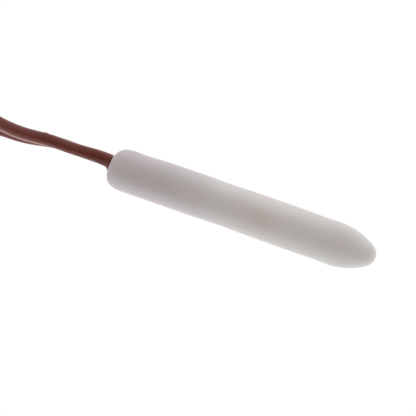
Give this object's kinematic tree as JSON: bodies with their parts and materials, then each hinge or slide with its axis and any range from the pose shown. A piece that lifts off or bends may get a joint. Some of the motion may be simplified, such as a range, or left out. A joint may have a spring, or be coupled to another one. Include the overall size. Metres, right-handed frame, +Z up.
{
  "type": "thermistor temperature sensor",
  "caption": "Slim bullet-nosed white plastic temperature probe with a potted thermistor bead inside and two brown insulated leads leaving the rear end.",
  "frame": {"origin": "centre of the probe body's footprint, on the surface it lies on", "axes": "+X along the probe towards its nose, +Z up; the leads leave towards -X"},
  "size_m": [0.0983, 0.0156, 0.0084],
  "materials": {
    "shell_white": "satin white moulded plastic",
    "potting_resin": "white potting resin, cured with a slightly domed face",
    "chip_ceramic": "dark sintered ceramic",
    "silver_film": "fired silver film",
    "solder": "bright solder",
    "bead_resin": "glossy black resin",
    "tinned_wire": "tinned copper strands",
    "sleeve_black": "black shrunk sleeve",
    "lead_brown": "satin reddish-brown PVC insulation",
    "tie_white": "white plastic-covered wire tie"
  },
  "bodies": {
    "root": {"housing": "shell_white", "potting": "potting_resin", "thermistor_chip": "chip_ceramic", "electrode_upper": "silver_film", "electrode_lower": "silver_film", "solder_upper": "solder", "solder_lower": "solder", "resin_bead": "bead_resin", "fine_wire_a": "tinned_wire", "fine_wire_b": "tinned_wire", "ferrule_a": "tinned_wire", "ferrule_b": "tinned_wire", "sleeve_a": "sleeve_black", "sleeve_b": "sleeve_black", "conductor_a": "tinned_wire", "conductor_b": "tinned_wire", "inner_lead_a": "lead_brown", "inner_lead_b": "lead_brown", "lead_a": "lead_brown", "lead_b": "lead_brown", "lead_hank": "lead_brown", "hank_tie": "tie_white", "bare_end_a": "tinned_wire", "bare_end_b": "tinned_wire"}
  },
  "joints": []
}
